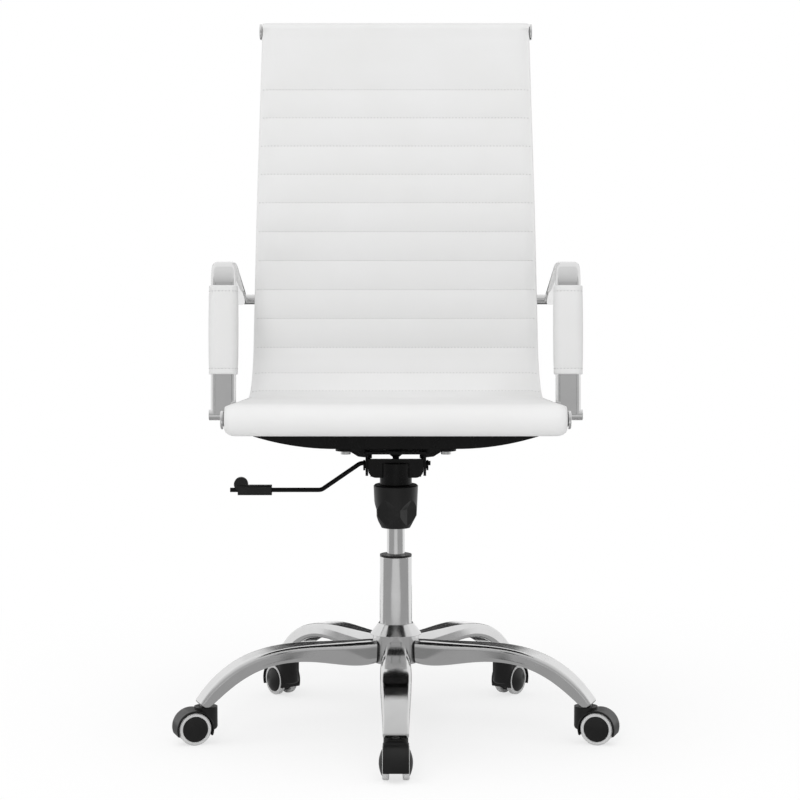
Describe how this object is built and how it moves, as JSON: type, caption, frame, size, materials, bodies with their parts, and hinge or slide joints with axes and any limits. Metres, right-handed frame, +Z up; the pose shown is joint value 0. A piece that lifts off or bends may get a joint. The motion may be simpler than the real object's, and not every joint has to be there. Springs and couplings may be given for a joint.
{
  "type": "swivel office chair",
  "caption": "High-back swivel office chair: ribbed sling on a chromed side frame, loop arms, tilt mechanism, gas lift and a star base on twin-wheel casters.",
  "frame": {"origin": "on the floor under the gas column's axis", "axes": "+Z up along the gas column, -Y the way the sitter faces, +X to the picture's right"},
  "size_m": [0.686, 0.713, 1.1182],
  "materials": {
    "white_upholstery": "smooth white leatherette with sewn ribs",
    "white_sleeve": "smooth white leatherette, zipped",
    "chrome_frame": "polished chrome plate on steel tube",
    "chrome_base": "polished chrome plate on pressed steel",
    "black_steel": "satin black powder coat",
    "black_plastic": "fine-grained black plastic",
    "zinc_fasteners": "zinc plated",
    "bare_steel": "ground steel",
    "caster_wheel": "black disc with a light grey tread"
  },
  "bodies": {
    "base": {"column_tube": "chrome_base", "column_liner": "black_plastic", "thrust_bearing": "bare_steel", "base_hub": "chrome_base", "caster_stems": "bare_steel", "base_leg_1": "chrome_base", "base_leg_2": "chrome_base", "base_leg_3": "chrome_base", "base_leg_4": "chrome_base", "base_leg_5": "chrome_base"},
    "lift_rod": {"lift_rod": "bare_steel"},
    "mechanism": {"lift_cylinder": "chrome_base", "tilt_housing": "black_steel", "tilt_pivot_pin": "black_steel", "spring_barrel": "black_steel", "tension_spring": "bare_steel", "tension_bolt": "black_steel"},
    "seat": {"sling": "white_upholstery", "side_rail_left": "chrome_frame", "side_rail_right": "chrome_frame", "top_cross_tube": "bare_steel", "front_cross_tube": "bare_steel", "tube_end_caps": "chrome_frame", "back_brace": "chrome_frame", "arm_left": "chrome_frame", "arm_right": "chrome_frame", "arm_sleeve_left": "white_sleeve", "arm_sleeve_right": "white_sleeve", "arm_bolts": "zinc_fasteners", "seat_bar_front": "black_steel", "seat_bar_rear": "black_steel", "tilt_plate": "black_steel", "plate_bolts": "zinc_fasteners"},
    "knob": {"tension_knob": "black_plastic"},
    "lever_bush": {"lever_bush": "black_plastic", "lever_pin": "bare_steel"},
    "lever": {"lever_rod": "black_steel", "lever_handle": "black_plastic"},
    "valve": {"valve_button": "bare_steel"},
    "caster_1": {"caster_hood_1": "black_plastic", "caster_axle_1": "bare_steel"},
    "wheel_left_1": {"caster_wheel_left_1": "caster_wheel"},
    "wheel_right_1": {"caster_wheel_right_1": "caster_wheel"},
    "caster_2": {"caster_hood_2": "black_plastic", "caster_axle_2": "bare_steel"},
    "wheel_left_2": {"caster_wheel_left_2": "caster_wheel"},
    "wheel_right_2": {"caster_wheel_right_2": "caster_wheel"},
    "caster_3": {"caster_hood_3": "black_plastic", "caster_axle_3": "bare_steel"},
    "wheel_left_3": {"caster_wheel_left_3": "caster_wheel"},
    "wheel_right_3": {"caster_wheel_right_3": "caster_wheel"},
    "caster_4": {"caster_hood_4": "black_plastic", "caster_axle_4": "bare_steel"},
    "wheel_left_4": {"caster_wheel_left_4": "caster_wheel"},
    "wheel_right_4": {"caster_wheel_right_4": "caster_wheel"},
    "caster_5": {"caster_hood_5": "black_plastic", "caster_axle_5": "bare_steel"},
    "wheel_left_5": {"caster_wheel_left_5": "caster_wheel"},
    "wheel_right_5": {"caster_wheel_right_5": "caster_wheel"}
  },
  "joints": [
    {"name": "seat_swivel", "type": "hinge", "parent": "base", "child": "lift_rod", "pos_m": [0, 0, 0.06], "axis": [0, 0, 1], "continuous": true},
    {"name": "seat_height", "type": "slide", "parent": "lift_rod", "child": "mechanism", "axis": [0, 0, 1], "range_m": [-0.1, 0]},
    {"name": "seat_tilt", "type": "hinge", "parent": "mechanism", "child": "seat", "pos_m": [0, -0.035, 0.421], "axis": [-1, 0, 0], "range_deg": [0, 12], "stiffness_Nm_per_rad": 120, "springref_deg": -20.05},
    {"name": "tension_turn", "type": "hinge", "parent": "mechanism", "child": "knob", "pos_m": [0, -0.076, 0.36], "axis": [0, 0, 1], "continuous": true},
    {"name": "tilt_lock_pull", "type": "slide", "parent": "mechanism", "child": "lever_bush", "axis": [-1, 0, 0], "range_m": [0, 0.005]},
    {"name": "lever_lift", "type": "hinge", "parent": "lever_bush", "child": "lever", "pos_m": [-0.04, 0, 0.42], "axis": [0, 1, 0], "range_deg": [0, 5], "stiffness_Nm_per_rad": 2, "springref_deg": -17.19},
    {"name": "valve_press", "type": "slide", "parent": "mechanism", "child": "valve", "axis": [0, 0, 1], "range_m": [-0.004, 0]},
    {"name": "caster_swivel_1", "type": "hinge", "parent": "base", "child": "caster_1", "pos_m": [0, -0.306, 0.057], "axis": [0, 0, 1], "continuous": true},
    {"name": "wheel_spin_left_1", "type": "hinge", "parent": "caster_1", "child": "wheel_left_1", "pos_m": [0, -0.326, 0.025], "axis": [1, 0, 0], "continuous": true},
    {"name": "wheel_spin_right_1", "type": "hinge", "parent": "caster_1", "child": "wheel_right_1", "pos_m": [0, -0.326, 0.025], "axis": [1, 0, 0], "continuous": true},
    {"name": "caster_swivel_2", "type": "hinge", "parent": "base", "child": "caster_2", "pos_m": [0.29102, -0.09456, 0.057], "axis": [0, 0, 1], "continuous": true},
    {"name": "wheel_spin_left_2", "type": "hinge", "parent": "caster_2", "child": "wheel_left_2", "pos_m": [0.31004, -0.10074, 0.025], "axis": [0.309, 0.9511, 0], "continuous": true},
    {"name": "wheel_spin_right_2", "type": "hinge", "parent": "caster_2", "child": "wheel_right_2", "pos_m": [0.31004, -0.10074, 0.025], "axis": [0.309, 0.9511, 0], "continuous": true},
    {"name": "caster_swivel_3", "type": "hinge", "parent": "base", "child": "caster_3", "pos_m": [0.17986, 0.24756, 0.057], "axis": [0, 0, 1], "continuous": true},
    {"name": "wheel_spin_left_3", "type": "hinge", "parent": "caster_3", "child": "wheel_left_3", "pos_m": [0.19162, 0.26374, 0.025], "axis": [-0.809, 0.5878, 0], "continuous": true},
    {"name": "wheel_spin_right_3", "type": "hinge", "parent": "caster_3", "child": "wheel_right_3", "pos_m": [0.19162, 0.26374, 0.025], "axis": [-0.809, 0.5878, 0], "continuous": true},
    {"name": "caster_swivel_4", "type": "hinge", "parent": "base", "child": "caster_4", "pos_m": [-0.17986, 0.24756, 0.057], "axis": [0, 0, 1], "continuous": true},
    {"name": "wheel_spin_left_4", "type": "hinge", "parent": "caster_4", "child": "wheel_left_4", "pos_m": [-0.19162, 0.26374, 0.025], "axis": [-0.809, -0.5878, 0], "continuous": true},
    {"name": "wheel_spin_right_4", "type": "hinge", "parent": "caster_4", "child": "wheel_right_4", "pos_m": [-0.19162, 0.26374, 0.025], "axis": [-0.809, -0.5878, 0], "continuous": true},
    {"name": "caster_swivel_5", "type": "hinge", "parent": "base", "child": "caster_5", "pos_m": [-0.29102, -0.09456, 0.057], "axis": [0, 0, 1], "continuous": true},
    {"name": "wheel_spin_left_5", "type": "hinge", "parent": "caster_5", "child": "wheel_left_5", "pos_m": [-0.31004, -0.10074, 0.025], "axis": [0.309, -0.9511, 0], "continuous": true},
    {"name": "wheel_spin_right_5", "type": "hinge", "parent": "caster_5", "child": "wheel_right_5", "pos_m": [-0.31004, -0.10074, 0.025], "axis": [0.309, -0.9511, 0], "continuous": true}
  ],
  "couplings": [
    {"joint": "valve_press", "follows": "lever_lift", "m_per_rad": -0.045}
  ]
}
